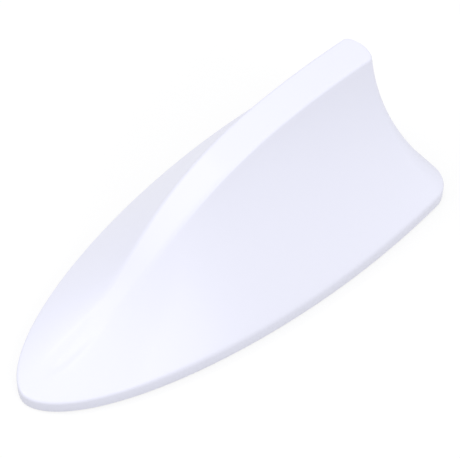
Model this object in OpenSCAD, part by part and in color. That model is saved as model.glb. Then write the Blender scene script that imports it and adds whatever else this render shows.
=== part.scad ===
// Shark fin roof aerial: a moulded cover on a flat plate that is taped to the roof.
// Millimetres. The nose points to -X, the tail to +X, and the tape's face is at Z = 0.
// Places along the aerial are measured back from the nose.

/* [Cover outline] */
// Length from nose to tail
body_l = 167; // [155:1:185]
// Width at the widest place
body_w = 75.7; // [70:0.1:84]
// Height of the crest's tip above the roof
body_h = 59.8; // [54:1:68]
// Distance from the nose back to the widest place
widest_x = 121; // [112:1:130]
// How far the sides pull in towards the tail, as a share of the half width
tail_taper = 0.08; // [0:0.01:0.12]
// Radius of the two rear corners in plan
corner_r = 10; // [7:0.5:14]
// Bow of the rear edge in plan
rear_bow = 0.8; // [0.4:0.1:4]
// Height of the rim's upper edge at the nose
rim_nose_h = 5.7; // [5.4:0.1:7]
// Height of the rim's upper edge at the tail
rim_tail_h = 5.9; // [5:0.1:7]

/* [Crest] */
// Distance from the nose back to the front end of the crest band
crest_front_x = 14; // [11:1:18]
// Height of the crest band's front end
crest_front_h = 7.8; // [7.6:0.1:10]
// Angle at which the crest leaves the nose
crest_front_angle = 15; // [8:1:20]
// Length of the low run of the crest behind the nose
crest_front_run = 48; // [30:1:52]
// Length of the level run of the crest in front of the tip
crest_top_run = 98; // [60:1:102]
// Angle at which the crest falls towards the tip
crest_tip_fall = 3.5; // [0:0.5:5]
// Width of the crest band near the nose
band_nose_w = 9.4; // [8:0.1:10.4]
// Width of the crest band at the tip
band_tip_w = 12.6; // [11.6:0.1:15]
// Distance from the tail forward to the tip
tip_back = 15.5; // [12:0.5:24]
// Radius of the tip's two corners in plan
tip_corner_r = 2.7; // [1.8:0.1:4]
// Bow of the tip's rear end in plan
tip_bow = 1.1; // [0.4:0.1:2]
// Softness of the band's edges at the tip
edge_tip_r = 1.1; // [0.8:0.1:2]
// Softness of the band's edges at the nose
edge_nose_r = 9; // [5:0.5:12]

/* [Walls] */
// Thickness of the cover
wall = 2; // [1.6:0.1:2.4]
// Height of the cover's lower edge above the roof
cover_lift = 0.4; // [0.2:0.1:0.6]
// Thickness of the adhesive pad
pad_t = 1; // [0.8:0.1:1.4]
// Thickness of the base plate
plate_t = 1.8; // [1.6:0.1:2.2]
// Gap between the cover and the base plate
plate_gap = 0.3; // [0.2:0.05:0.5]
// Diameter of the cover's screw bosses
boss_d = 6.4; // [5.8:0.2:7]
// Thickness of the ribs inside the cover
rib_t = 1.2; // [1:0.1:1.6]

/* [Seal and outlet] */
// Distance from the cover's outline in to the seal
seal_inset = 4.4; // [4:0.1:5]
// Width of the seal
seal_w = 1.8; // [1.4:0.1:2.2]
// Diameter of the cable outlet
outlet_d = 6; // [5:0.5:7]
// Diameter of the hole that holds the gland in the base plate
gland_neck_d = 9; // [8.5:0.5:10]
// Gap between the board and the gland
outlet_gap = 3; // [2:0.5:4]

/* [Electronics] */
// Distance from the nose back to the front edge of the board
board_x = 40; // [39:1:44]
// Distance from the tail forward to the rear edge of the board
board_back = 35; // [33:1:40]
// Gap between the board and the screw bosses beside it
board_side_gap = 3.3; // [2.5:0.1:4]
// Thickness of the amplifier board
board_t = 1.6; // [1:0.1:2]
// Height of the posts that carry the board above the base plate
post_h = 2.4; // [2:0.1:3]
// Height of the shield can
can_h = 4; // [3:0.5:4.5]
// Diameter of the coil's wire
wire_d = 0.9; // [0.6:0.1:1.2]
// Diameter of the coil at the middle of its wire
coil_d = 8; // [7:0.5:9]
// Turns in the coil
coil_turns = 8; // [5:1:10]
// Distance between the coil's turns
coil_pitch = 2.2; // [1.8:0.1:2.6]
// Thickness of the tinned sheet
sheet_t = 0.5; // [0.4:0.1:0.8]
// Width of the top plate
top_plate_w = 8; // [7:0.5:8.5]
// Depth of the top plate's side flaps
flap_h = 11; // [8:1:14]

/* [Screws] */
// Diameter of the cover screws
cover_screw_d = 2.6; // [2.2:0.1:3]
// Length of the cover screws under the head
cover_screw_l = 8; // [6:1:9]
// Diameter of the board and holder screws
board_screw_d = 2; // [1.8:0.1:2.4]

/* [Hidden] */
$fn = 48;

// Steps round the outline and up the flank
nose_n = 34;
side_n = 6;
corner_n = 8;
rear_n = 4;
flank_n = 13;
edge_n = 5;
nose_p = 1.04;
nose_q = 1.12;
row_lean = 0.85;
nib = 0.01;

// Pull of the flank's curve, inwards and upwards. The section is full behind the nose and turns hollow
// towards the tail, most of it in the last third
sweep_in = 0.83;
sweep_up = [0.88, 0.34];
sweep_turn = 3.8;
front_round = 0.05;
rim_r = 1.2;
hem_r = 0.4;

// Heights of the stack from the roof upwards
plate_top = pad_t + plate_t;
board_z = plate_top + post_h;
board_top = board_z + board_t;
boss_foot = plate_top + 1.3;
boss_gap = 0.1;
seal_groove = 0.8;
seal_top = boss_foot - 0.1;

// Small helpers
function lerp(a, b, t) = a + (b - a) * t;
function quad(a, b, c, t) = lerp(lerp(a, b, t), lerp(b, c, t), t);
function cubic(a, b, c, d, t) = lerp(quad(a, b, c, t), quad(b, c, d, t), t);
function unit(v) = v / norm(v);
function mirrored(p) = [p.x, -p.y, p.z];

// Outline of the cover in plan, half of it, from the nose round to the middle of the tail
function side_y(x) = body_w / 2 * (1 - tail_taper * pow((x - widest_x) / (body_l - widest_x), 2));
bow_angle = atan(2 * rear_bow / (body_w / 2 - corner_r));
corner_cx = body_l - rear_bow - corner_r * cos(bow_angle);
side_angle = atan(body_w * tail_taper * (corner_cx - widest_x) / pow(body_l - widest_x, 2));
side_end_x = corner_cx + corner_r * sin(side_angle);
corner_cy = side_y(side_end_x) - corner_r * cos(side_angle);
rear_y = corner_cy + corner_r * sin(bow_angle);
OUTLINE = concat(
    [for (i = [0:nose_n]) let (a = 90 * i / nose_n)
        [widest_x * (1 - pow(cos(a), nose_p)), body_w / 2 * pow(sin(a), nose_q)]],
    [for (i = [1:side_n]) let (x = lerp(widest_x, side_end_x, i / side_n)) [x, side_y(x)]],
    [for (i = [1:corner_n]) let (a = lerp(side_angle, 90 - bow_angle, i / corner_n))
        [corner_cx + corner_r * sin(a), corner_cy + corner_r * cos(a)]],
    [for (i = [1:rear_n]) let (y = rear_y * (1 - i / rear_n))
        [body_l - rear_bow * pow(y / rear_y, 2), y]]);
last = len(OUTLINE) - 1;
tip_i = nose_n + side_n;

// The outline moved inwards by d, along the normal at each point
function outline_at(i) = i < 0 ? [OUTLINE[-i].x, -OUTLINE[-i].y]
    : i > last ? [OUTLINE[2 * last - i].x, -OUTLINE[2 * last - i].y] : OUTLINE[i];
function outline_normal(i) = let (t = unit(outline_at(i + 1) - outline_at(i - 1))) [-t.y, t.x];
function inset_at(i, d) = OUTLINE[i] - d * outline_normal(i);
// Deep insets fold over at the nose's tight curve, and the points that would cross the middle are left out
function inset_half(d) = [for (i = [0:last]) let (p = inset_at(i, d)) if (i % last == 0 || p.y > 0.1) p];
function inset_loop(d) = let (half = inset_half(d))
    concat(half, [for (k = [len(half) - 2:-1:1]) [half[k].x, -half[k].y]]);

// Crest line and the band along it
crest_p0 = [crest_front_x, crest_front_h];
tip_bow_angle = atan(2 * tip_bow / (band_tip_w / 2 - tip_corner_r + 1));
tip_cy = band_tip_w / 2 - tip_corner_r;
tip_y = tip_cy + tip_corner_r * sin(tip_bow_angle);
crest_p3 = [body_l - tip_back - tip_bow - tip_corner_r * cos(tip_bow_angle), body_h];
crest_p1 = crest_p0 + crest_front_run * [cos(crest_front_angle), sin(crest_front_angle)];
crest_p2 = crest_p3 - crest_top_run * [cos(crest_tip_fall), -sin(crest_tip_fall)];
function crest(t) = cubic(crest_p0, crest_p1, crest_p2, crest_p3, t);
function row_t(i) = i > tip_i ? 1 : pow(OUTLINE[i].x / side_end_x, row_lean);
function front_share(t) = t >= front_round ? 1 : sqrt(1 - pow(1 - t / front_round, 2));
function band_half(t) = lerp(band_nose_w, band_tip_w, t) / 2;
TIP = concat(
    [for (i = [1:corner_n]) let (a = (90 - tip_bow_angle) * i / corner_n)
        [crest_p3.x + tip_corner_r * sin(a), tip_cy + tip_corner_r * cos(a)]],
    [for (i = [1:rear_n]) let (y = tip_y * (1 - i / rear_n))
        [body_l - tip_back - tip_bow * pow(y / tip_y, 2), y]]);
function tip_at(p) = [p.x, p.y, body_h - (p.x - crest_p3.x) * tan(crest_tip_fall)];
function band_at(i) = let (t = row_t(i), c = crest(t))
    i > tip_i ? tip_at(TIP[i - tip_i - 1]) : [c.x, band_half(t) * front_share(t), c.y];
function spine_at(i) = let (c = crest(max(row_t(i), front_round))) [c.x, 0, c.y];

// A point of the flank: v runs from the rim's upper edge at 0 to the band's edge at 1
function rim_z(x) = lerp(rim_nose_h, rim_tail_h, x / body_l);
function rim_at(i) = [OUTLINE[i].x, OUTLINE[i].y, rim_z(OUTLINE[i].x)];
function sweep_at(i) = let (a = rim_at(i), b = band_at(i),
                            w = lerp(sweep_up[0], sweep_up[1], pow(row_t(i), sweep_turn)))
    [lerp(a.x, b.x, sweep_in), lerp(a.y, b.y, sweep_in), lerp(a.z, b.z, w)];
function flank(i, v) = quad(rim_at(i), sweep_at(i), band_at(i), v);
function flank_any(i, v) = i < 0 ? mirrored(flank(-i, v))
    : i > last ? mirrored(flank(2 * last - i, v)) : flank(i, v);
function flank_normal(i, v) = let (w = min(v + 0.02, 1), u = w - 0.04)
    unit(cross(flank_any(i, w) - flank_any(i, u), flank_any(i + 1, v) - flank_any(i - 1, v)));

// One column of the outer skin, from the hem up over the rim and flank to the band
function edge_r(t) = lerp(edge_nose_r, edge_tip_r, pow(t, 0.5));
function rim_v(i) = min(0.2, rim_r / (2 * norm(sweep_at(i) - rim_at(i))));
function edge_v(i) = 1 - min(0.4, edge_r(row_t(i)) / (2 * norm(band_at(i) - sweep_at(i))));
function band_in(i) = let (t = row_t(i)) lerp(band_at(i), spine_at(i), min(0.8, edge_r(t) / band_half(t)));
function skin(i) = let (r = rim_at(i), h = inset_at(i, hem_r))
    concat([[h.x, h.y, cover_lift], [r.x, r.y, cover_lift + hem_r]],
           [for (s = [0, 0.35, 0.7]) quad(r - [0, 0, rim_r], r, flank(i, rim_v(i)), s)],
           [for (s = [0:flank_n]) flank(i, lerp(rim_v(i), edge_v(i), s / flank_n))],
           [for (s = [1:edge_n]) quad(flank(i, edge_v(i)), band_at(i), band_in(i), s / edge_n)]);

// One column of the hollow inside, a wall's thickness in from the skin
function inner_at(i, v) = flank(i, v) - wall * flank_normal(i, v);
function inner_edge(i) = let (n = flank_normal(i, 1))
    band_at(i) - wall * (n + [0, 0, 1]) / (1 + n.z);
function hollow(i) = let (p = inset_at(i, wall), z = inner_at(i, 0.04).z)
    concat([[p.x, p.y, cover_lift - 1], [p.x, p.y, z]],
           [for (v = [0.12, 0.24, 0.36, 0.5, 0.64, 0.78, 0.9]) inner_at(i, v)],
           [inner_edge(i), lerp(inner_edge(i), spine_at(i) - [0, 0, wall], 0.5)]);

// A closed solid from half of its columns, closed flat below and by a strip along the crest
module lofted(half) {
    n = len(half) - 1;
    m = len(half[0]);
    loop = concat([for (i = [0:n]) [for (p = half[i]) mirrored(p)]], [for (i = [n - 1:-1:1]) half[i]]);
    k = len(loop);
    function id(i, j) = (i % k) * m + j;
    polyhedron(
        points = [for (c = loop) for (p = c) p],
        faces = concat(
            [[for (i = [0:k - 1]) id(i, 0)]],
            [for (i = [0:k - 1]) for (j = [0:m - 2]) each
                [[id(i, j), id(i, j + 1), id(i + 1, j + 1)], [id(i, j), id(i + 1, j + 1), id(i + 1, j)]]],
            [for (i = [1:n - 2]) each
                [[id(i, m - 1), id(k - i, m - 1), id(k - i - 1, m - 1)],
                 [id(i, m - 1), id(k - i - 1, m - 1), id(i + 1, m - 1)]]],
            [[id(0, m - 1), id(k - 1, m - 1), id(1, m - 1)],
             [id(n - 1, m - 1), id(n + 1, m - 1), id(n, m - 1)]]));
}

// Places of the fastenings, measured back from the nose
nose_boss_x = 30;
side_boss_x = 88;
rear_boss_back = 19;
boss_seal_gap = 3.6;
side_boss_y = body_w / 2 - seal_inset - seal_w - boss_d / 2 - boss_seal_gap;
cover_screw_at = concat([[nose_boss_x, 0]],
    [for (x = [side_boss_x, body_l - rear_boss_back]) for (s = [-1, 1]) [x, s * side_boss_y]]);
pilot_gap = 0.05;

// Layout of the board: the can in front, then the holder, then the socket and the gland
plate_boss_d = boss_d + 2;
board_x2 = body_l - board_back;
board_l = board_x2 - board_x;
board_w = 2 * (side_boss_y - plate_boss_d / 2 - board_side_gap);
board_screw_in = 4;
can_x = board_x + 2 * board_screw_in;
can_l = 0.24 * board_l;
can_w = 0.53 * board_w;
can_t = 0.3;
socket_l = 6.5;
socket_w = 7;
socket_x = board_x2 - socket_l - 0.5;
holder_x1 = can_x + can_l + 2;
holder_x2 = socket_x - 1.5;
holder_screw_in = 3.4;
small_head_d = 1.9 * board_screw_d;
small_head_h = 0.65 * board_screw_d;
small_screw_bite = 1.9;
head_room = 0.5;
gland_flange_d = gland_neck_d + 2.8;
outlet_x = board_x2 + outlet_gap + gland_flange_d / 2;
board_screw_at = [for (x = [board_x + board_screw_in, board_x2 - board_screw_in]) for (s = [-1, 1])
    [x, s * (board_w / 2 - 3.5)]];
holder_screw_at = [for (x = [holder_x1 + holder_screw_in, holder_x2 - holder_screw_in]) [x, 0]];
post_d = 5;

module from_nose() translate([-body_l / 2, 0, 0]) children();
module at_each(places) for (p = places) translate([p.x, p.y, 0]) children();
module ring(d_in, d_out, z1, z2) translate([0, 0, z1]) linear_extrude(z2 - z1)
    difference() {
        polygon(inset_loop(d_in));
        polygon(inset_loop(d_out));
    }
module bar(x1, x2, y1, y2, z1, z2) translate([x1, y1, z1]) cube([x2 - x1, y2 - y1, z2 - z1]);
module hole(d, z1, z2) translate([0, 0, z1]) cylinder(d = d, h = z2 - z1);

// A pan-head screw with its head's flat side at Z = 0 and its shank pointing down
module screw(d, l, head_d, head_h) {
    difference() {
        rotate_extrude() polygon([[0, head_h], [head_d * 0.3, head_h], [head_d / 2, head_h * 0.45],
                                  [head_d / 2, 0], [d / 2, 0], [d / 2, d / 2 - l], [d * 0.15, -l], [0, -l]]);
        for (a = [0, 90]) rotate(a)
            bar(-head_d * 0.3, head_d * 0.3, -d * 0.12, d * 0.12, head_h * 0.4, head_h + 1);
    }
}

// The cover: one moulding with a seal rib, five bosses and the gussets that brace them
boss_top = body_h;
module cover_bosses() {
    at_each(cover_screw_at) hole(boss_d, boss_foot + boss_gap, boss_top);
    for (p = cover_screw_at) if (p.y != 0) let (side = sign(p.y) * body_w / 2)
        bar(p.x - rib_t / 2, p.x + rib_t / 2, min(p.y, side), max(p.y, side), boss_foot + 2, boss_top);
    ring(seal_inset + 0.3, seal_inset + 0.3 + rib_t, seal_top, boss_top);
}
module fin_cover() color("white") from_nose()
    difference() {
        lofted([for (i = [0:last]) skin(i)]);
        difference() {
            lofted([for (i = [0:last]) hollow(i)]);
            cover_bosses();
        }
        at_each(cover_screw_at)
            hole(cover_screw_d + pilot_gap, boss_foot, pad_t + screw_head_h + cover_screw_l + 0.5);
    }

// Rubber ring in the plate's groove, pressed by the cover's rib
module cover_seal() color("dimgray") from_nose()
    ring(seal_inset, seal_inset + seal_w, plate_top - seal_groove, seal_top);

// Base plate: moulded in black, with a lip round the pad, bosses, posts and the gland's collar
plate_inset = wall + plate_gap;
lip_t = 1.4;
lip_h = 0.4;
screw_head_d = 4.8;
screw_head_h = 1.5;
collar_h = 1.2;
module base_plate() color("#202124") from_nose()
    difference() {
        union() {
            translate([0, 0, pad_t]) linear_extrude(plate_t) polygon(inset_loop(plate_inset));
            ring(plate_inset, plate_inset + lip_t, pad_t - lip_h, pad_t + nib);
            at_each(cover_screw_at) hole(plate_boss_d, plate_top - nib, boss_foot);
            at_each(concat(board_screw_at, holder_screw_at)) hole(post_d, plate_top - nib, board_z);
            translate([outlet_x, 0, 0]) hole(gland_neck_d + 4, plate_top - nib, plate_top + collar_h);
        }
        ring(seal_inset - 0.1, seal_inset + seal_w + 0.1, plate_top - seal_groove, plate_top + nib);
        at_each(cover_screw_at) {
            hole(cover_screw_d + 0.4, pad_t - 1, boss_foot + 1);
            hole(screw_head_d + 0.4, pad_t - 1, pad_t + screw_head_h);
        }
        at_each(concat(board_screw_at, holder_screw_at))
            hole(board_screw_d + pilot_gap, plate_top - 0.8, board_z + 1);
        translate([outlet_x, 0, 0]) hole(gland_neck_d, pad_t - 1, plate_top + collar_h + 1);
    }

// Foam tape inside the plate's lip, with an opening for the gland
pad_inset = plate_inset + lip_t + 0.3;
module adhesive_pad() color("#303030") from_nose()
    difference() {
        linear_extrude(pad_t) polygon(inset_loop(pad_inset));
        translate([outlet_x, 0, 0]) hole(gland_flange_d + 0.8, -1, pad_t + 1);
    }

// Rubber gland snapped into the plate, flanged above and below
module cable_gland() color("#1a1a1a") from_nose() translate([outlet_x, 0, 0])
    rotate_extrude() {
        r = outlet_d / 2;
        neck = gland_neck_d / 2;
        flange = gland_flange_d / 2;
        top = plate_top + collar_h;
        polygon([[r, 0.2], [flange, 0.2], [flange, pad_t], [neck, pad_t], [neck, top],
                 [flange, top], [flange - 0.3, top + 1.2], [r + 0.6, top + 4], [r, top + 4]]);
    }

// Tinned sheet under the board that couples the aerial to the roof
ground_margin = 5;
ground_w = board_w + 2 * ground_margin;
module ground_plate() color("silver") from_nose()
    difference() {
        union() {
            translate([0, 0, plate_top]) linear_extrude(sheet_t) intersection() {
                polygon(inset_loop(seal_inset + seal_w + 1));
                translate([board_x + 2, -ground_w / 2]) square([board_l - 1, ground_w]);
            }
            for (u = [0.18, 0.36, 0.68]) for (s = [-1, 1])
                translate([board_x + u * board_l, s * (board_w / 2 + 0.1 + sheet_t / 2), plate_top])
                    bar(-2.5, 2.5, -sheet_t / 2, sheet_t / 2, 0, board_top + 0.6 - plate_top);
        }
        at_each(concat(board_screw_at, holder_screw_at)) hole(post_d + 0.4, plate_top - 1, board_z);
        at_each(cover_screw_at) hole(plate_boss_d + 0.6, plate_top - 1, board_z);
    }

// Fibreglass board with its fixing holes
module amplifier_board() color("darkgreen") from_nose()
    difference() {
        bar(board_x, board_x2, -board_w / 2, board_w / 2, board_z, board_top);
        at_each(concat(board_screw_at, holder_screw_at))
            hole(board_screw_d + 0.3, board_z - 1, board_top + 1);
        translate([coil_x + coil_d / 2, 0, 0]) hole(wire_d + 0.3, board_z - 1, board_top + 1);
    }

// Drawn can over the amplifier, open below
module shield_can() color("lightgray") from_nose()
    difference() {
        bar(can_x, can_x + can_l, -can_w / 2, can_w / 2, board_top, board_top + can_h);
        bar(can_x + can_t, can_x + can_l - can_t, can_t - can_w / 2, can_w / 2 - can_t,
            board_top - 1, board_top + can_h - can_t);
        for (u = [0.2, 0.5, 0.8]) for (v = [-0.22, 0, 0.22]) translate([can_x + u * can_l, v * can_w, 0])
            hole(1.2, board_top + can_h - 1, board_top + can_h + 1);
    }

// Parts soldered on the board, most of them under the can
module chip(x, y, l, w, h) bar(x - l / 2, x + l / 2, y - w / 2, y + w / 2, board_top, board_top + h);
module in_can(places) for (p = places) translate([can_x + p.x * can_l, p.y * can_w, 0]) children();
chip_size = [5, 4, 1.5];
capacitor_size = [1, 2, 0.8];
inductor_size = [2.4, 1.8, 1.6];
transistor_size = [1.4, 2.9, 1.1];
transistor_gap = 1.9;
lead_w = 0.4;
lead_l = 1;
lead_t = 0.5;
lead_pitch = 1.27;
side_rows = [-0.31, 0, 0.31];
module amplifier_chip() color("#222222") from_nose() in_can([[0.5, 0]]) {
    chip(0, 0, chip_size.x, chip_size.y, chip_size.z);
    for (k = [-1.5:1.5]) for (s = [-1, 1])
        chip(k * lead_pitch, s * (chip_size.y + lead_l) / 2, lead_w, lead_l + 2 * nib, lead_t);
}
module chip_capacitors() color("tan") from_nose()
    in_can([for (u = [0.75, 0.89]) for (v = side_rows) [u, v]])
        chip(0, 0, capacitor_size.x, capacitor_size.y, capacitor_size.z);
module chip_inductors() color("#404040") from_nose()
    in_can([for (v = side_rows) [0.15, v]])
        chip(0, 0, inductor_size.x, inductor_size.y, inductor_size.z);
module input_transistors() color("#2a2a2a") from_nose()
    for (s = [-1, 1])
        translate([board_x + board_screw_in, s * (transistor_size.y + transistor_gap) / 2, 0]) {
            chip(0, 0, transistor_size.x, transistor_size.y, transistor_size.z);
            for (dy = [-1, 1])
                chip((transistor_size.x + lead_l) / 2, dy * transistor_size.y / 3,
                     lead_l + 2 * nib, lead_w, lead_t);
            chip(-(transistor_size.x + lead_l) / 2, 0, lead_l + 2 * nib, lead_w, lead_t);
        }

// Two-way socket for the lead, facing the outlet
socket_h = 5;
socket_wall = 0.9;
module lead_socket() color("ivory") from_nose()
    difference() {
        bar(socket_x, socket_x + socket_l, -socket_w / 2, socket_w / 2, board_top, board_top + socket_h);
        bar(socket_x + socket_wall, socket_x + socket_l + 1, socket_wall - socket_w / 2,
            socket_w / 2 - socket_wall, board_top + socket_wall, board_top + socket_h - socket_wall);
    }
module socket_pins() color("gold") from_nose()
    for (s = [-1, 1]) translate([socket_x + socket_wall, s * socket_w * 0.17, board_top + socket_h / 2])
        bar(0, socket_l - 2, -0.3, 0.3, -0.3, 0.3);

// A strip that follows the crest between two depths below it, over a range of the crest's rows
function crest_z_at(x, lo = 0, hi = 1, n = 24) = let (mid = (lo + hi) / 2, c = crest(mid))
    n == 0 ? c.y : c.x < x ? crest_z_at(x, mid, hi, n - 1) : crest_z_at(x, lo, mid, n - 1);
function crest_path(x1, x2, depth, n = 12) = [for (i = [0:n]) let (x = lerp(x1, x2, i / n))
    [x, crest_z_at(x) - depth]];
function turned(list) = [for (i = [len(list) - 1:-1:0]) list[i]];
module crest_slab(x1, x2, top, bottom, w) translate([0, w / 2, 0]) rotate([90, 0, 0]) linear_extrude(w)
    polygon(concat(crest_path(x1, x2, top), turned(crest_path(x1, x2, bottom))));

// Sheet folded over the holder, with a flap down each side
plate_x1 = holder_x1 + 12;
plate_x2 = crest_p3.x - 4;
plate_depth = wall + 1.6;
module top_plate() color("silver") from_nose()
    difference() {
        crest_slab(plate_x1, plate_x2, plate_depth, plate_depth + flap_h, top_plate_w);
        crest_slab(plate_x1 - 1, plate_x2 + 1, plate_depth + sheet_t, plate_depth + flap_h + 1,
                   top_plate_w - 2 * sheet_t);
    }

// Moulded blade that carries the top plate above the board
foot_t = 2;
foot_w = 13;
foot_top = board_top + foot_t;
blade_w = top_plate_w - 2 * sheet_t - 0.2;
blade_x1 = holder_x1 + holder_screw_in + small_head_d / 2 + head_room;
blade_x2 = holder_x2 - holder_screw_in - small_head_d / 2 - head_room;
blade_depth = plate_depth + sheet_t + 0.1;
blade_overhang = 12;
coil_x = (blade_x1 + blade_x2) / 2 + 1;
window_w = coil_d + 6;
window_rim = 3;
module blade_profile() translate([0, blade_w / 2, 0]) rotate([90, 0, 0]) linear_extrude(blade_w) children();
heel_step = small_head_h + 0.4;
function heel_z(x) = foot_top
    + (x < blade_x2 ? 0 : lerp(heel_step, blade_overhang, (x - blade_x2) / (plate_x2 - blade_x2)));
module element_holder() color("#e8e6df") from_nose()
    difference() {
        union() {
            bar(holder_x1, holder_x2, -foot_w / 2, foot_w / 2, board_top, foot_top);
            blade_profile() polygon(concat(
                [[blade_x1, foot_top - nib]], crest_path(plate_x1, plate_x2, blade_depth),
                [[plate_x2, heel_z(plate_x2)], [blade_x2, heel_z(blade_x2)], [blade_x2, foot_top - nib]]));
        }
        at_each(holder_screw_at) hole(board_screw_d + 0.3, board_top - 1, foot_top + 1);
        bar(coil_x - window_w / 2, coil_x + window_w / 2, -blade_w, blade_w, foot_top, window_top);
        blade_profile() let (x1 = coil_x + window_w / 2 + window_rim, x2 = plate_x2 - window_rim)
            polygon(concat(crest_path(x1, x2, plate_depth + flap_h + 1),
                           [[x2, heel_z(x2) + window_rim], [x1, heel_z(x1) + window_rim]]));
        translate([coil_x + coil_d / 2, 0, 0]) hole(wire_d + 0.5, board_top - 1, body_h);
        translate([coil_x, 0, 0]) hole(former_peg_d + 0.1, board_top - 1, foot_top + 1);
    }

// Loading coil: one wire from the board, round its former and up to the top plate
coil_z = foot_top + 3;
window_top = coil_z + coil_turns * coil_pitch + 3;
coil_steps = 16;
coil_top = crest_z_at(coil_x + coil_d / 2) - plate_depth - sheet_t;
function coil_point(s) = [coil_d / 2 * cos(360 * s), coil_d / 2 * sin(360 * s), coil_z + coil_pitch * s];
coil_path = concat(
    [for (z = [board_z, coil_z - wire_d]) [coil_d / 2, 0, z]],
    [for (k = [0:coil_turns * coil_steps]) coil_point(k / coil_steps)],
    [for (z = [coil_z + coil_turns * coil_pitch + wire_d, coil_top]) [coil_d / 2, 0, z]]);
module wire(path, d, sides) {
    n = len(path);
    rings = [for (i = [0:n - 1])
        let (t = unit(path[min(i + 1, n - 1)] - path[max(i - 1, 0)]),
             side = unit([path[i].x, path[i].y, 0]),
             b = unit(cross(t, side)))
        [for (k = [0:sides - 1]) let (a = 360 * k / sides)
            path[i] + d / 2 * (cos(a) * side + sin(a) * b)]];
    polyhedron(
        points = [for (r = rings) for (p = r) p],
        faces = concat(
            [[for (k = [sides - 1:-1:0]) k], [for (k = [0:sides - 1]) (n - 1) * sides + k]],
            [for (i = [0:n - 2]) for (k = [0:sides - 1]) let (a = i * sides, l = (k + 1) % sides) each
                [[a + k, a + l, a + sides + l], [a + k, a + sides + l, a + sides + k]]]));
}
module loading_coil() color("#b87333") from_nose() translate([coil_x, 0, 0]) wire(coil_path, wire_d, 8);

// Peg that the coil is wound on, pressed into the holder's foot
former_peg_d = 3;
module coil_former() color("#d9d4c0") from_nose() translate([coil_x, 0, 0]) {
    hole(former_peg_d, board_top + 0.1, foot_top + nib);
    hole(coil_d - wire_d - 0.4, foot_top, window_top - 1);
}

// Foam pads between the top plate and the cover
damping_l = 10;
damping_in = 6;
module damping_pads() color("#50545a") from_nose()
    for (x = [plate_x1 + damping_in, plate_x2 - damping_in - damping_l])
        crest_slab(x, x + damping_l, wall + 0.3, plate_depth - pilot_gap, 0.75 * top_plate_w);

module board_screws() color("gainsboro") from_nose()
    at_each(board_screw_at) translate([0, 0, board_top])
        screw(board_screw_d, board_t + small_screw_bite, small_head_d, small_head_h);
module holder_screws() color("gainsboro") from_nose()
    at_each(holder_screw_at) translate([0, 0, foot_top])
        screw(board_screw_d, board_t + foot_t + small_screw_bite, small_head_d, small_head_h);
module cover_screws() color("gainsboro") from_nose()
    at_each(cover_screw_at) translate([0, 0, pad_t + screw_head_h]) rotate([180, 0, 0])
        screw(cover_screw_d, cover_screw_l, screw_head_d, screw_head_h);

fin_cover();
cover_seal();
base_plate();
adhesive_pad();
cable_gland();
ground_plate();
amplifier_board();
shield_can();
amplifier_chip();
chip_capacitors();
chip_inductors();
input_transistors();
lead_socket();
socket_pins();
element_holder();
top_plate();
loading_coil();
coil_former();
damping_pads();
board_screws();
holder_screws();
cover_screws();
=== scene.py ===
# %% [markdown]
# # A shark fin roof aerial
# The aerial is a white moulded cover on a black plate that is taped to a car's roof. Almost all that the
# eye meets is the cover, so most of this lesson is about its one long surface: a low nose, flanks that
# sweep inwards as they rise, and a narrow crest. The plain parts inside are softened copies of the packed
# model's, and the small bought-in ones are built anew. The first lines load that model as a fixed frame.

# %% Load the frame
from math import atan, cos, pi, radians, sin, sqrt, tan

import bmesh
import bpy
from mathutils import Matrix, Vector


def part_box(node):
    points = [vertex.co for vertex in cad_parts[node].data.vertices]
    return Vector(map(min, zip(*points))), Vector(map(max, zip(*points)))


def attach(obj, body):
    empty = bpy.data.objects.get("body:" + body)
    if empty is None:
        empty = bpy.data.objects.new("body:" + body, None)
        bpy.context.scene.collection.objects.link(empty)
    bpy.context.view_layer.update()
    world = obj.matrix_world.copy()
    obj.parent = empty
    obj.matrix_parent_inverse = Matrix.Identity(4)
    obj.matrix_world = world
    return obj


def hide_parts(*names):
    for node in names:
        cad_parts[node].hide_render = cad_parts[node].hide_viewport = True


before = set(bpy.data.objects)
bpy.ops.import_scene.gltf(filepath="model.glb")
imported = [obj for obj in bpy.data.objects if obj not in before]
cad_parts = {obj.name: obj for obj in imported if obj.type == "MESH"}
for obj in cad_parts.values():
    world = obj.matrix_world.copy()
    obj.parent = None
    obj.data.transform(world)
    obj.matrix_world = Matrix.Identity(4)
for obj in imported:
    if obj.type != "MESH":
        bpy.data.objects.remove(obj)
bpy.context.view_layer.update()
MM = 0.001

# %% [markdown]
# ## The outline that the cover stands on
# Seen from above, the real cover is a long leaf: a pointed round nose, nearly straight sides and two
# rounded rear corners. It could be a traced curve of many points, but four short formulas say it better.
# Each takes a share from 0 to 1 and the station number u runs from 0 at the nose to 4 at the tail's middle:
# the nose's sweep, the side, the corner arc and the slightly bowed rear edge. Half is enough, because the
# cover is symmetric.

# %% Outline of the cover in plan, in millimetres back from the nose
cover_lo, cover_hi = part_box("fin_cover")
BODY_L = (cover_hi.x - cover_lo.x) / MM
BODY_W = (cover_hi.y - cover_lo.y) / MM
WIDEST_X = 121
TAIL_TAPER = 0.08
CORNER_R = 10
REAR_BOW = 0.8
NOSE_POWERS = (1.04, 1.12)


def lerp(a, b, t):
    """What lies at share t of the way from a to b."""
    return a + (b - a) * t


def side_y(x):
    """Half width of the cover behind its widest place."""
    return BODY_W / 2 * (1 - TAIL_TAPER * ((x - WIDEST_X) / (BODY_L - WIDEST_X)) ** 2)


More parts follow.
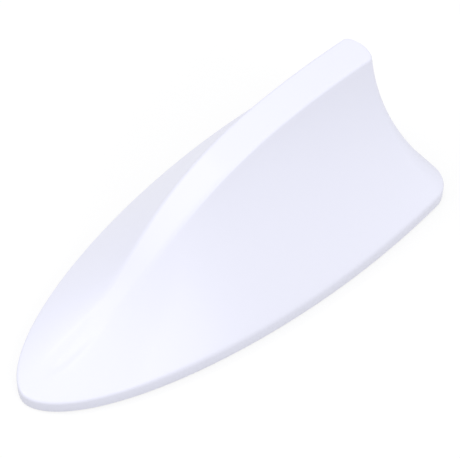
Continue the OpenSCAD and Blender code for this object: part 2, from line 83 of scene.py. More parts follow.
REAR_ANGLE = atan(2 * REAR_BOW / (BODY_W / 2 - CORNER_R))
CORNER_X = BODY_L - REAR_BOW - CORNER_R * cos(REAR_ANGLE)
SIDE_ANGLE = atan(BODY_W * TAIL_TAPER * (CORNER_X - WIDEST_X) / (BODY_L - WIDEST_X) ** 2)
SIDE_END = CORNER_X + CORNER_R * sin(SIDE_ANGLE)
CORNER_Y = side_y(SIDE_END) - CORNER_R * cos(SIDE_ANGLE)
REAR_Y = CORNER_Y + CORNER_R * sin(REAR_ANGLE)


def outline(u):
    """Point of the outline at station u, from 0 at the nose to 4 at the middle of the tail."""
    if u < 1:
        a = max(u, 0) * pi / 2
        return Vector((WIDEST_X * (1 - cos(a) ** NOSE_POWERS[0]), BODY_W / 2 * sin(a) ** NOSE_POWERS[1]))
    if u < 2:
        x = lerp(WIDEST_X, SIDE_END, u - 1)
        return Vector((x, side_y(x)))
    if u < 3:
        a = lerp(SIDE_ANGLE, pi / 2 - REAR_ANGLE, u - 2)
        return Vector((CORNER_X + CORNER_R * sin(a), CORNER_Y + CORNER_R * cos(a)))
    y = REAR_Y * (1 - min(u - 3, 1))
    return Vector((BODY_L - REAR_BOW * (y / REAR_Y) ** 2, y))


print("rear corner at", round(CORNER_X, 1), round(CORNER_Y, 1), "mm")

# %% [markdown]
# ## The crest
# The top of the real fin is a narrow band that climbs in one smooth line from the nose to the tip. One
# cubic curve in the side view draws it. The band is widest at the tip, where it ends in two small corners,
# and narrows more and more towards the nose, where it ends in a round point.

# %% Crest line and the band along it
CREST_FRONT = Vector((14, 7.8))
CREST_ANGLE = radians(15)
CREST_FRONT_RUN = 48
CREST_TOP_RUN = 98
CREST_FALL = radians(3.5)
BAND_W = (9.4, 12.6)
NOSE_SHARE = 0.3
TAPER_END = 0.8
TIP_H = 59.8
TIP_BACK = 15.5
TIP_CORNER_R = 2.7
TIP_BOW = 1.1
ROW_LEAN = 0.85
FRONT_ROUND = 0.05

TIP_ANGLE = atan(2 * TIP_BOW / (BAND_W[1] / 2 - TIP_CORNER_R + 1))
TIP_CY = BAND_W[1] / 2 - TIP_CORNER_R
TIP_Y = TIP_CY + TIP_CORNER_R * sin(TIP_ANGLE)
CREST_END = Vector((BODY_L - TIP_BACK - TIP_BOW - TIP_CORNER_R * cos(TIP_ANGLE), TIP_H))
CREST_PULL = (CREST_FRONT + CREST_FRONT_RUN * Vector((cos(CREST_ANGLE), sin(CREST_ANGLE))),
              CREST_END - CREST_TOP_RUN * Vector((cos(CREST_FALL), -sin(CREST_FALL))))


def quad(a, b, c, t):
    """Point at t on the quadratic curve that b pulls."""
    return lerp(lerp(a, b, t), lerp(b, c, t), t)


def crest(t):
    """Point of the crest line in side view, as (x, z)."""
    return lerp(quad(CREST_FRONT, *CREST_PULL, t), quad(*CREST_PULL, CREST_END, t), t)


def crest_share(u):
    """How far along the crest station u meets it."""
    return 1 if u >= 2 else (outline(u).x / SIDE_END) ** ROW_LEAN


def band_half(t):
    """Half width of the band at t, which the nose narrows to a share of what it would be."""
    narrowed = (1 - min(1, t / TAPER_END)) ** 2
    return lerp(*BAND_W, t) / 2 * lerp(1, NOSE_SHARE, narrowed)


def band_edge(u):
    """Point of the band's edge above station u."""
    if u <= 2:
        t = crest_share(u)
        c = crest(t)
        front = 1 if t >= FRONT_ROUND else sqrt(1 - (1 - t / FRONT_ROUND) ** 2)
        return Vector((c.x, band_half(t) * front, c.y))
    if u < 3:
        a = (pi / 2 - TIP_ANGLE) * (u - 2)
        x, y = CREST_END.x + TIP_CORNER_R * sin(a), TIP_CY + TIP_CORNER_R * cos(a)
    else:
        y = TIP_Y * (1 - min(u - 3, 1))
        x = BODY_L - TIP_BACK - TIP_BOW * (y / TIP_Y) ** 2
    return Vector((x, y, TIP_H - (x - CREST_END.x) * tan(CREST_FALL)))


def spine(u):
    """Point in the middle of the band that belongs to station u."""
    c = crest(max(crest_share(u), FRONT_ROUND))
    return Vector((c.x, 0, c.y))


print("crest from", [round(c, 1) for c in crest(0)], "to", [round(c, 1) for c in crest(1)])

# %% [markdown]
# ## The flank between outline and crest
# Behind the nose the moulding's section is full, like a roof, and near the tail it is hollow: the flank
# leaves the rim at a low slope and ends almost upright under the crest. A quadratic curve from rim to band,
# pulled by one point, gives both. The point drops along the aerial by a high power of the distance, because
# the real flank stays full for long and turns hollow in its last third. The upper edge keeps one small
# radius from the tip to the nose, which is what makes the crest stand out as a narrow bright band.

# %% Flank, rim and edges
RIM_Z = (5.7, 5.9)
SWEEP_IN = 0.83
SWEEP_UP = (0.88, 0.34)
SWEEP_TURN = 3.8
RIM_R = 1.2
HEM_R = 0.4
COVER_LIFT = 0.4
EDGE_R = (1.2, 1.1)
# A soft edge takes at most this share of the curve that it rounds. RIM_LIMIT and BAND_LIMIT are alike.
EDGE_LIMIT = 0.4
WALL = 2
# Slopes of the flank are measured between points that are this share apart.
NEAR = 0.01


def rim(u):
    """Upper edge of the upright rim at station u."""
    p = outline(u)
    return Vector((p.x, p.y, lerp(*RIM_Z, p.x / BODY_L)))


def sweep(u):
    """Point that pulls the flank's curve at station u."""
    a, b, t = rim(u), band_edge(u), crest_share(u)
    upwards = lerp(*SWEEP_UP, t ** SWEEP_TURN)
    return Vector((lerp(a.x, b.x, SWEEP_IN), lerp(a.y, b.y, SWEEP_IN), lerp(a.z, b.z, upwards)))


def flank(u, v):
    """Point of the flank: v runs from the rim at 0 to the band's edge at 1."""
    if u < 0 or u > 4:
        p = flank(-u if u < 0 else 8 - u, v)
        return Vector((p.x, -p.y, p.z))
    return quad(rim(u), sweep(u), band_edge(u), v)


def outline_inset(u, d):
    """The outline at station u, moved inwards by d."""
    a, b = flank(u - NEAR, 0), flank(u + NEAR, 0)
    across = Vector((b.y - a.y, a.x - b.x)).normalized()
    return outline(u) + d * across


def flank_normal(u, v):
    """Outward normal of the flank."""
    w = min(v + 2 * NEAR, 1)
    up = flank(u, w) - flank(u, w - 4 * NEAR)
    return up.cross(flank(u + 2 * NEAR, v) - flank(u - 2 * NEAR, v)).normalized()


def edge_share(u):
    """Radius of the flank's soft upper edge, and the share of its curve that the edge takes."""
    radius = lerp(*EDGE_R, sqrt(crest_share(u)))
    return radius, min(EDGE_LIMIT, radius / (2 * (band_edge(u) - sweep(u)).length))


print("flank's normal at its middle:", [round(c, 2) for c in flank_normal(0.8, 0.5)])

# %% [markdown]
# ## Columns of points for the skin and for the hollow
# Each station gives one column of the skin, from the hem up over the rim and the flank to the middle of the
# crest. The hollow inside has columns of the same kind, a wall's thickness in from the skin. The fine skin
# is what shows. The hollow needs fewer columns, because nothing looks at it closely.

# %% Columns from the hem to the crest
RIM_STEPS = 6
FLANK_STEPS = 40
EDGE_STEPS = 9
TOP_STEPS = 5
HEM_STEPS = 4
RIM_LIMIT = 0.2
BAND_LIMIT = 0.8
HOLLOW_SHARES = (0.04, 0.12, 0.24, 0.36, 0.5, 0.64, 0.78, 0.9)
# A shape that cuts goes this far past the surface that it opens.
OVERCUT = 1


def steps(n, start=0):
    """Shares of a curve at the ends of its n steps, from the one given."""
    return [i / n for i in range(start, n + 1)]


def skin_column(u):
    """One column of the skin, from the hem to the middle of the crest."""
    r, hem = rim(u), outline_inset(u, HEM_R)
    hem_low, hem_mid = Vector((hem.x, hem.y, COVER_LIFT)), Vector((r.x, r.y, COVER_LIFT))
    hem_high = Vector((r.x, r.y, COVER_LIFT + HEM_R))
    rim_share = min(RIM_LIMIT, RIM_R / (2 * (sweep(u) - r).length))
    radius, top_share = edge_share(u)
    edge = band_edge(u)
    inner = lerp(edge, spine(u), min(BAND_LIMIT, radius / band_half(crest_share(u))))
    column = [quad(hem_low, hem_mid, hem_high, s) for s in steps(HEM_STEPS)]
    column += [quad(r - Vector((0, 0, RIM_R)), r, flank(u, rim_share), s) for s in steps(RIM_STEPS)]
    column += [flank(u, lerp(rim_share, 1 - top_share, s)) for s in steps(FLANK_STEPS, 1)]
    column += [quad(flank(u, 1 - top_share), edge, inner, s) for s in steps(EDGE_STEPS, 1)]
    return column + [lerp(inner, spine(u), s) for s in steps(TOP_STEPS, 1)]


def hollow_column(u):
    """One column of the hollow, from just below the hem to under the crest."""
    foot = outline_inset(u, WALL)
    inner = [flank(u, v) - WALL * flank_normal(u, v) for v in HOLLOW_SHARES]
    n = flank_normal(u, 1)
    edge = band_edge(u) - WALL * (n + Vector((0, 0, 1))) / (1 + n.z)
    top = spine(u) - Vector((0, 0, WALL))
    column = [Vector((foot.x, foot.y, COVER_LIFT - OVERCUT)), Vector((foot.x, foot.y, inner[0].z))]
    return column + inner[1:] + [edge, lerp(edge, top, 0.5), top]


def stations(nose, side, corner, rear):
    """Station numbers with that many steps in each of the outline's four parts."""
    counts = (nose, side, corner, rear)
    return [part + i / n for part, n in enumerate(counts) for i in range(n)] + [4]


print("points in a skin column:", len(skin_column(0.5)), "in a hollow column:", len(hollow_column(0.5)))

# %% [markdown]
# ## Lofting a half and mirroring it
# A grid already has the right faces for a surface between columns: each of its points only has to be moved
# to its place. The half is then mirrored, its doubled points along the middle are merged, and the open
# lower edge is closed with one face, so that the result is a solid that a boolean can work on.

# %% Loft
# Points that are nearer than this, in millimetres, are one.
SAME_POINT = 0.001
FINE = (96, 16, 16, 10)
COARSE = (34, 6, 8, 4)
FROM_NOSE = Matrix.Scale(MM, 4) @ Matrix.Translation((-BODY_L / 2, 0, 0))


def to_object(bm, name):
    """A new object from a mesh in millimetres back from the nose, placed in the frame in metres."""
    bmesh.ops.transform(bm, matrix=FROM_NOSE, verts=bm.verts)
    mesh = bpy.data.meshes.new(name)
    bm.to_mesh(mesh)
    bm.free()
    obj = bpy.data.objects.new(name, mesh)
    bpy.context.scene.collection.objects.link(obj)
    return obj


def loft(name, columns):
    """A closed solid from half of its columns."""
    bm = bmesh.new()
    nx, ny = len(columns), len(columns[0])
    bmesh.ops.create_grid(bm, x_segments=nx - 1, y_segments=ny - 1, size=1)
    for v in bm.verts:
        i, j = round((v.co.x + 1) / 2 * (nx - 1)), round((v.co.y + 1) / 2 * (ny - 1))
        v.co = columns[i][j]
    half = bm.verts[:] + bm.edges[:] + bm.faces[:]
    bmesh.ops.mirror(bm, geom=half, axis="Y", merge_dist=SAME_POINT / 10)
    bmesh.ops.remove_doubles(bm, verts=bm.verts, dist=2 * SAME_POINT)
    bmesh.ops.holes_fill(bm, edges=[e for e in bm.edges if e.is_boundary], sides=0)
    bmesh.ops.recalc_face_normals(bm, faces=bm.faces)
    return to_object(bm, name)


skin = loft("cover", [skin_column(u) for u in stations(*FINE)])
hollow = loft("cover_hollow", [hollow_column(u) for u in stations(*COARSE)])
print("skin:", len(skin.data.polygons), "faces, hollow:", len(hollow.data.polygons))

# %% [markdown]
# ## A calm nose
# Where the crest's band ends, its edges meet in a tight fan. A mould is blended there by hand. More columns
# would not help, but a few passes of smoothing over ever smaller patches do what the blending does.

# %% Calm the nose
NOSE_BACK = 18
ABOVE_RIM = 0.3
PATCHES = (20, 17, 14, 11)
PASSES = 5
nose_at = Vector((NOSE_BACK - BODY_L / 2, 0)) * MM
bm = bmesh.new()
bm.from_mesh(skin.data)
for reach in PATCHES:
    near = [v for v in bm.verts if (v.co.xy - nose_at).length < reach * MM]
    patch = [v for v in near if v.co.z > (RIM_Z[1] + ABOVE_RIM) * MM]
    for i in range(PASSES):
        bmesh.ops.smooth_vert(bm, verts=patch, factor=0.5, use_axis_x=True, use_axis_y=True, use_axis_z=True)
bm.to_mesh(skin.data)
bm.free()
print("smoothed", len(patch), "points at the nose")

# %% [markdown]
# ## Bosses, gussets and the seal's rib
# Inside the real cover, five bosses take the screws from below, gussets brace the outer four, and a thin
# rib presses on the rubber seal. They are moulded in one with the cover, so they are what is left standing
# when the hollow is cut out: the hollow loses their shapes first, then the cover loses the hollow.

# %% Sizes of the bosses, the rib and what they meet
BOSS_D = 6.4
BOSS_FOOT = 4.2
BOSS_GAP = 3.6
GUSSET_LIFT = 1.9
RIB_T = 1.2
RIB_BACK = 0.3
SEAL_INSET = 4.4
SEAL_W = 1.8
SEAL_TOP = 4.0
PLATE_FLOOR = 1
SCREW_D = 2.6
PILOT_PLAY = 0.05
PILOT_TOP = 11
FRONT_SCREW_X = 30
MIDDLE_SCREWS_X = 88
REAR_SCREWS_BACK = 19
BOSS_Y = BODY_W / 2 - SEAL_INSET - SEAL_W - BOSS_D / 2 - BOSS_GAP
SCREW_AT = [(FRONT_SCREW_X, 0)]
SCREW_AT += [(x, way * BOSS_Y) for x in (MIDDLE_SCREWS_X, BODY_L - REAR_SCREWS_BACK) for way in (-1, 1)]
print("cover's screws at", [(round(x, 1), round(y, 1)) for x, y in SCREW_AT])

# %% Helpers for posts, blocks and cuts
ROUND_SIDES = 48


def post(bm, x, y, d, z1, z2, segments=ROUND_SIDES):
    """Adds an upright round post."""
    place = Matrix.Translation((x, y, (z1 + z2) / 2))
    bmesh.ops.create_cone(bm, cap_ends=True, segments=segments, radius1=d / 2, radius2=d / 2, depth=z2 - z1,
                          matrix=place)


def block(bm, low, high):
    """Adds a block between two corners."""
    size = Vector(high) - Vector(low)
    place = Matrix.Translation((Vector(low) + Vector(high)) / 2) @ Matrix.Diagonal((*size, 1))
    bmesh.ops.create_cube(bm, size=1, matrix=place)


def cut(target, tool):
    """Cuts the tool's shape out of the target's mesh and deletes the tool."""
    change = target.modifiers.new("Cut", "BOOLEAN")
    change.operation, change.object, change.solver = "DIFFERENCE", tool, "EXACT"
    change.use_self = True
    result = bpy.data.meshes.new_from_object(target.evaluated_get(bpy.context.evaluated_depsgraph_get()))
    target.modifiers.clear()
    target.data = result
    bpy.data.objects.remove(tool)


# %% Bosses and gussets
# The front boss stands in the middle and has no gusset.
for x, y in SCREW_AT:
    bm = bmesh.new()
    post(bm, x, y, BOSS_D, BOSS_FOOT, TIP_H)
    cut(hollow, to_object(bm, "boss"))
    if y:
        bm = bmesh.new()
        outer = BODY_W / 2 * (1 if y > 0 else -1)
        low = (x - RIB_T / 2, min(y, outer), BOSS_FOOT + GUSSET_LIFT)
        block(bm, low, (x + RIB_T / 2, max(y, outer), TIP_H))
        cut(hollow, to_object(bm, "gusset"))
print("hollow with its bosses:", len(hollow.data.polygons), "faces")


# %% A wall along the outline
def verts_in(geom):
    """The vertices among what an operator returned."""
    return [g for g in geom if isinstance(g, bmesh.types.BMVert)]


def ring(d_in, d_out, z1, z2):
    """A wall that follows the outline between two distances in from it."""
    bm = bmesh.new()
    half = stations(*COARSE)
    loops = []
    for d in (d_in, d_out):
        points = [outline_inset(u, d) for u in half]
        points += [Vector((p.x, -p.y)) for p in points[-2:0:-1]]
        verts = [bm.verts.new((p.x, p.y, z1)) for p in points]
        loops.append([bm.edges.new((a, b)) for a, b in zip(verts, verts[1:] + verts[:1])])
    bmesh.ops.bridge_loops(bm, edges=loops[0] + loops[1])
    walls = bmesh.ops.extrude_face_region(bm, geom=bm.faces[:])["geom"]
    bmesh.ops.translate(bm, vec=(0, 0, z2 - z1), verts=verts_in(walls))
    bmesh.ops.recalc_face_normals(bm, faces=bm.faces)
    return bm


# %% Seal rib, and the hollow cut out
rib_in = SEAL_INSET + RIB_BACK
cut(hollow, to_object(ring(rib_in, rib_in + RIB_T, SEAL_TOP, TIP_H), "rib"))
cut(skin, hollow)
for x, y in SCREW_AT:
    bm = bmesh.new()
    post(bm, x, y, SCREW_D + PILOT_PLAY, PLATE_FLOOR, PILOT_TOP)
    cut(skin, to_object(bm, "pilot"))
cover = skin
print("cover:", len(cover.data.polygons), "faces")

# %% [markdown]
# ## Finishes
# A finish starts from what the real material is and how its surface was made. One function turns the hex
# colours that a paint chart gives into the linear numbers that Blender mixes, and one adds a node with its
# settings and links, so that each material below reads as a short list.

# %% Helpers for materials
def linear(colour):
    """Linear RGBA from an sRGB hex string."""
    shares = [int(colour[i:i + 2], 16) / 255 for i in (0, 2, 4)]
    return (*[s / 12.92 if s <= 0.04045 else ((s + 0.055) / 1.055) ** 2.4 for s in shares], 1)


def add(tree, kind, inputs=None, **settings):
    """Adds a shader node, sets its options, and sets or links its inputs."""
    node = tree.nodes.new("ShaderNode" + kind)
    for option, value in settings.items():
        setattr(node, option, value)
    for socket, value in (inputs or {}).items():
        if isinstance(value, bpy.types.NodeSocket):
            tree.links.new(value, node.inputs[socket])
        else:
            node.inputs[socket].default_value = value
    return node


def new_finish(name, **constants):
    """A material with a Principled shader that has these constant values."""
    material = bpy.data.materials.new(name)
    material.use_nodes = True
    shader = material.node_tree.nodes["Principled BSDF"]
    for socket, value in constants.items():
        shader.inputs[socket.replace("_", " ")].default_value = value
    place = add(material.node_tree, "TexCoord").outputs["Object"]
    return material, material.node_tree, shader, place


def per_mm(size_mm):
    """Scale of a pattern on Object coordinates whose features are that many millimetres apart."""
    return 1 / (size_mm * MM)


# %% Cover's finish
# Gloss ABS with a clear lacquer: a cool white, a soft sheen and the faint orange peel of a sprayed coat.
PEEL = 1.6
TINT_DRIFT = 30
white, tree, shader, place = new_finish("lacquered_white_abs", Roughness=0.5, IOR=1.5, Coat_Weight=0.2,
                                        Coat_Roughness=0.2, Coat_IOR=1.5)
peel = add(tree, "TexNoise", {"Vector": place, "Scale": per_mm(PEEL), "Detail": 2})
bump = add(tree, "Bump", {"Height": peel.outputs["Fac"], "Strength": 0.06, "Distance": 0.02 * MM})
tint = add(tree, "TexNoise", {"Vector": place, "Scale": per_mm(TINT_DRIFT), "Detail": 3})
shades = add(tree, "Mix", {"Factor": tint.outputs["Fac"], "A": linear("E9EAF9"), "B": linear("EBECFA")},
             data_type="RGBA")
tree.links.new(shades.outputs["Result"], shader.inputs["Base Color"])
tree.links.new(bump.outputs["Normal"], shader.inputs["Normal"])

cover.data.materials.clear()
cover.data.materials.append(white)
cover.data.shade_smooth()
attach(cover, "root")
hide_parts("fin_cover")
print("cover's finish:", white.name, "of", len(tree.nodes), "nodes")

# %% [markdown]
# ## Finishes of the parts inside
# Under the cover there are moulded plastics, rubbers, foams and plated metals. Most of them look alike up
# close: the colour drifts a little between two tones, and the mould or the tool left a fine grain. One
# function makes that pair of patterns, and each finish below gives it its own tones and real sizes. Those
# with a structure of their own, such as rolled sheet, board and foam, add it to the result.

# %% A finish with drifting tones and a grain
def toned(name, tones, drift_mm, grain_mm, depth_mm, **constants):
    """A finish between two tones that drift over one size, with a grain of another size and depth."""
    material, tree, shader, place = new_finish(name, **constants)
    drift = add(tree, "TexNoise", {"Vector": place, "Scale": per_mm(drift_mm), "Detail": 3})
    grain = add(tree, "TexNoise", {"Vector": place, "Scale": per_mm(grain_mm), "Detail": 2})
    mix = add(tree, "Mix", {"Factor": drift.outputs["Fac"], "A": linear(tones[0]), "B": linear(tones[1])},
              data_type="RGBA")
    bump = add(tree, "Bump", {"Height": grain.outputs["Fac"], "Strength": 0.6, "Distance": depth_mm * MM})
    tree.links.new(mix.outputs["Result"], shader.inputs["Base Color"])
    tree.links.new(bump.outputs["Normal"], shader.inputs["Normal"])
    return material, tree, shader, place


# %% Plastics, rubbers and ceramics
# Glass-filled nylon from a spark-eroded mould: near black, with a dry, even grain.
black_nylon = toned("glass_filled_nylon", ("17181A", "202225"), 14, 0.35, 0.02, Roughness=0.55)[0]
# EPDM rubber, moulded: black and dull, with a bloom of a slightly greyer tone.
rubber = toned("moulded_epdm_rubber", ("161617", "232425"), 5, 0.5, 0.01, Roughness=0.78)[0]
# Epoxy moulding compound: charcoal, satin, with the fine grit of its filler.
epoxy = toned("epoxy_moulding_compound", ("1B1B1C", "28282A"), 1.2, 0.12, 0.006, Roughness=0.6)[0]
# Fired ceramic of a multilayer capacitor: warm tan with a faint cloudiness.
ceramic = toned("fired_capacitor_ceramic", ("A67F56", "B8936A"), 0.8, 0.1, 0.004, Roughness=0.4)[0]
# Pressed and sintered ferrite: dark grey, a little sparkling and slightly porous.
ferrite = toned("sintered_ferrite", ("35363A", "46484C"), 0.6, 0.1, 0.01, Roughness=0.5)[0]
# Natural nylon: ivory, with a soft sheen.
ivory_nylon = toned("natural_nylon", ("E6DEC4", "EEE8D3"), 6, 0.4, 0.006, Roughness=0.45)[0]
# Natural acetal: a cold milky white that feels waxy, so light enters it a little.
acetal = toned("natural_acetal", ("ECEAE3", "F4F3EE"), 10, 0.6, 0.008, Roughness=0.38,
               Subsurface_Weight=0.08)[0]
print("moulded:", [m.name for m in (black_nylon, rubber, epoxy, ceramic, ferrite, ivory_nylon, acetal)])

# %% Metals
# Gold flash over brass: bright yellow, with the drawing marks of the pin below it.
gold = toned("gold_flashed_brass", ("D6A848", "E2BB66"), 1.5, 0.2, 0.003, Metallic=1, Roughness=0.24)[0]
# Copper wire in clear polyurethane enamel: the enamel is a smooth coat over a red-brown metal.
copper = toned("enamelled_copper_wire", ("A4552B", "B96B3C"), 3, 0.3, 0.004, Metallic=1, Roughness=0.3,
               Coat_Weight=0.8, Coat_Roughness=0.08)[0]
# Zinc plate with a clear passivation: light grey, softly cloudy.
zinc = toned("zinc_plated_steel", ("B4B7BB", "C8CBCF"), 1.4, 0.15, 0.004, Metallic=1, Roughness=0.34)[0]
# Bright tin on cold-rolled steel: silvery, with faint lines along the rolling direction.
tin, tree, shader, place = toned("tinned_steel_sheet", ("BDBDB8", "CFCEC9"), 9, 0.4, 0.003, Metallic=1)
ROLL_LINE = 0.15
ROLL_LENGTH = 12
stretch = add(tree, "Mapping", {"Vector": place, "Scale": (ROLL_LINE / ROLL_LENGTH, 1, 1)})
lines = add(tree, "TexNoise", {"Vector": stretch.outputs[0], "Scale": per_mm(ROLL_LINE), "Detail": 3})
sheen = add(tree, "MapRange", {"Value": lines.outputs["Fac"], "To Min": 0.2, "To Max": 0.42})
tree.links.new(sheen.outputs[0], shader.inputs["Roughness"])
print("metals:", [m.name for m in (gold, copper, zinc, tin)])

# %% Foams
# Acrylic foam of the tape: dark grey, closed fine cells, dull.
tape = toned("acrylic_foam_tape", ("333437", "3F4144"), 2.5, 0.4, 0.02, Roughness=0.85)[0]
# Open polyurethane foam: blue grey, with round cells that take up the light.
open_foam, tree, shader, place = toned("polyurethane_foam", ("3F464E", "525A63"), 4, 0.5, 0.05,
                                       Roughness=0.95)
CELL = 0.6
cells = add(tree, "TexVoronoi", {"Vector": place, "Scale": per_mm(CELL)})
pits = add(tree, "Bump", {"Height": cells.outputs["Distance"], "Strength": 0.8, "Distance": 0.2 * MM})
tree.links.new(pits.outputs["Normal"], shader.inputs["Normal"])
print("foams:", tape.name, open_foam.name)

# %% Solder-resist board
# Glass cloth in epoxy under green solder resist: the weave shows as a fine relief, and the resist is lighter
# where it lies over copper, in strips that run along the board. A wave texture turns by 20 radians in a
# unit, so the yarns are 2 pi times CLOTH apart, some 3 mm. Real ones are finer and wouldn't show.
CLOTH = 0.5
WAVE_TURN = 20
TRACK = 1.6
board_green, tree, shader, place = new_finish("solder_resist_board", Roughness=0.35, Coat_Weight=0.4,
                                              Coat_Roughness=0.15)
tracks = add(tree, "TexBrick", {"Vector": place, "Scale": per_mm(TRACK), "Color1": linear("0F4A2A"),
                                "Color2": linear("124F2E"), "Mortar": linear("1E6B3C"), "Mortar Size": 0.1,
                                "Brick Width": 14, "Row Height": 1}, offset=0.37)
warp = add(tree, "TexWave", {"Vector": place, "Scale": per_mm(CLOTH) / WAVE_TURN}, bands_direction="X")
weft = add(tree, "TexWave", {"Vector": place, "Scale": per_mm(CLOTH) / WAVE_TURN}, bands_direction="Y")
cloth = add(tree, "Math", {0: warp.outputs["Fac"], 1: weft.outputs["Fac"]}, operation="ADD")
weave = add(tree, "Bump", {"Height": cloth.outputs[0], "Strength": 0.3, "Distance": 0.01 * MM})
tree.links.new(tracks.outputs["Color"], shader.inputs["Base Color"])
tree.links.new(weave.outputs["Normal"], shader.inputs["Normal"])
print("finishes:", len(bpy.data.materials))

# %% [markdown]
# ## The pieces inside
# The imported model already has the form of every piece, with the straight edges of a drawing. Real mouldings
# and pressings have rounded edges, because no tool cuts a perfectly sharp corner, and a small radius is what
# catches the light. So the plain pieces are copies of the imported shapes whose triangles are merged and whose
# sharp edges are bevelled. The small bought-in parts are built anew below.

# %% Helpers for the pieces
ROUNDED_FROM = radians(30)
SHARP_FROM = radians(35)
FLAT_TO = radians(0.5)


def soften(bm, width, segments=2):
    """Rounds every edge where the surface turns by more than ROUNDED_FROM."""
    sharp = [e for e in bm.edges if e.is_manifold and e.calc_face_angle() > ROUNDED_FROM]
    bmesh.ops.bevel(bm, geom=sharp, offset=width, affect="EDGES", segments=segments, profile=0.5,
                    material=-1, clamp_overlap=True)


def stand_in(bm, name, node, slot, *finishes):
    """Makes the piece that stands for a node, smooth between its sharp edges."""
    bmesh.ops.recalc_face_normals(bm, faces=bm.faces)
    piece = to_object(bm, name)
    for finish in finishes:
        piece.data.materials.append(finish)
    piece.data.shade_smooth()
    piece.data.set_sharp_from_angle(angle=SHARP_FROM)
    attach(piece, "root")
    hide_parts(node)
    print(name, "has", len(piece.data.polygons), "faces")


def from_object(obj):
    """A bmesh of an object's mesh, in millimetres back from the nose again."""
    bm = bmesh.new()
    bm.from_mesh(obj.data)
    bmesh.ops.transform(bm, matrix=FROM_NOSE.inverted(), verts=bm.verts)
    return bm


def softened(node, name, width, slot, finish):
    """A piece that is a copy of its node with its sharp edges rounded."""
    bm = from_object(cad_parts[node])
    bmesh.ops.remove_doubles(bm, verts=bm.verts, dist=SAME_POINT)
    bmesh.ops.dissolve_limit(bm, angle_limit=FLAT_TO, verts=bm.verts, edges=bm.edges)
    soften(bm, width)
    stand_in(bm, name, node, slot, finish)


def node_box(node):
    """Lowest and highest corner of a node, in millimetres back from the nose."""
    return [FROM_NOSE.inverted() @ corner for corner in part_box(node)]


# %% Plate, tape, sheet metal and mouldings
softened("base_plate", "plate", 0.2, "plate_black", black_nylon)
softened("adhesive_pad", "tape_pad", 0.2, "foam_grey", tape)
softened("ground_plate", "ground_sheet", 0.1, "tinned_sheet", tin)
softened("amplifier_board", "board", 0.1, "board_green", board_green)
softened("lead_socket", "socket", 0.15, "socket_ivory", ivory_nylon)
softened("element_holder", "holder", 0.25, "holder_natural", acetal)
softened("top_plate", "folded_sheet", 0.12, "tinned_sheet", tin)
softened("coil_former", "former", 0.3, "holder_natural", acetal)
softened("damping_pads", "foam_pads", 0.5, "foam_blue_grey", open_foam)

# %% [markdown]
# ## Seal and gland
# The seal is a rubber ring that follows the outline, so the wall function above makes it, and a bevel gives
# its moulded edges. The gland is a rubber grommet. It is turned: a profile of nine points goes once round,
# which is what its mould was turned from, too.

# %% Seal
SEAL_EDGE = 0.5
low, high = node_box("cover_seal")
bm = ring(SEAL_INSET, SEAL_INSET + SEAL_W, low.z, high.z)
soften(bm, SEAL_EDGE, segments=3)
stand_in(bm, "seal_ring", "cover_seal", "rubber_black", rubber)


# %% A turned shape
def turned(profile, closed=False, sides=ROUND_SIDES):
    """A shape turned round the Z axis from a profile of radii and heights."""
    bm = bmesh.new()
    verts = [bm.verts.new((r, 0, z)) for r, z in profile]
    ends = verts[1:] + verts[:1] if closed else verts[1:]
    edges = [bm.edges.new(pair) for pair in zip(verts, ends)]
    bmesh.ops.spin(bm, geom=verts + edges, cent=(0, 0, 0), axis=(0, 0, 1), dvec=(0, 0, 0), angle=2 * pi,
                   steps=sides, use_merge=True)
    bmesh.ops.remove_doubles(bm, verts=bm.verts, dist=SAME_POINT)
    bmesh.ops.recalc_face_normals(bm, faces=bm.faces)
    return bm


# %% Gland
PLATE_TOP = 2.8
COLLAR_H = 1.2
COLLAR_SLOPE = 0.3
OUTLET_R = 3
NECK_R = 4.5
LIP_H = 1.2
MOUTH_WALL = 0.6
GLAND_EDGE = 0.25
low, high = node_box("cable_gland")
flange_r = (high.x - low.x) / 2
collar_top = PLATE_TOP + COLLAR_H
bm = turned([(OUTLET_R, low.z), (flange_r, low.z), (flange_r, PLATE_FLOOR), (NECK_R, PLATE_FLOOR),
             (NECK_R, collar_top), (flange_r, collar_top), (flange_r - COLLAR_SLOPE, collar_top + LIP_H),
             (OUTLET_R + MOUTH_WALL, high.z), (OUTLET_R, high.z)], closed=True)
soften(bm, GLAND_EDGE, segments=3)
bmesh.ops.translate(bm, vec=(low.x + flange_r, 0, 0), verts=bm.verts)
stand_in(bm, "outlet_gland", "cable_gland", "rubber_black", rubber)

# %% [markdown]
# ## The shield can
# The real can is drawn from thin tinned sheet, so its walls have one thickness and round corners, and it is
# open below. A block without its floor, bevelled and then given a thickness inwards, has just that section.
# One boolean with nine posts then punches the vents.

# %% Shield can
CAN_T = 0.3
CAN_CORNER = 0.6
VENT_D = 1.2
CAN_SHARES = (0.2, 0.5, 0.8)
CAN_SIDES = (-0.22, 0, 0.22)
can_low, can_high = node_box("shield_can")
can_size = can_high - can_low


def in_can(u, v):
    """Place on the board under the can, u along it from its front wall and v across it from the middle."""
    return Vector((can_low.x + u * can_size.x, v * can_size.y, can_low.z))


bm = bmesh.new()
block(bm, can_low, can_high)
open_side = [f for f in bm.faces if f.calc_center_median().z < can_low.z + SAME_POINT]
bmesh.ops.delete(bm, geom=open_side, context="FACES")
soften(bm, CAN_CORNER, segments=4)
bmesh.ops.recalc_face_normals(bm, faces=bm.faces)
bmesh.ops.solidify(bm, geom=bm.faces[:], thickness=CAN_T)
can = to_object(bm, "can")
vents = bmesh.new()
for u in CAN_SHARES:
    for v in CAN_SIDES:
        spot = in_can(u, v)
        post(vents, spot.x, spot.y, VENT_D, can_high.z - OVERCUT, can_high.z + OVERCUT, ROUND_SIDES // 2)
cut(can, to_object(vents, "vents"))
bm = from_object(can)
bpy.data.objects.remove(can)
stand_in(bm, "can", "shield_can", "tinned_sheet", tin)

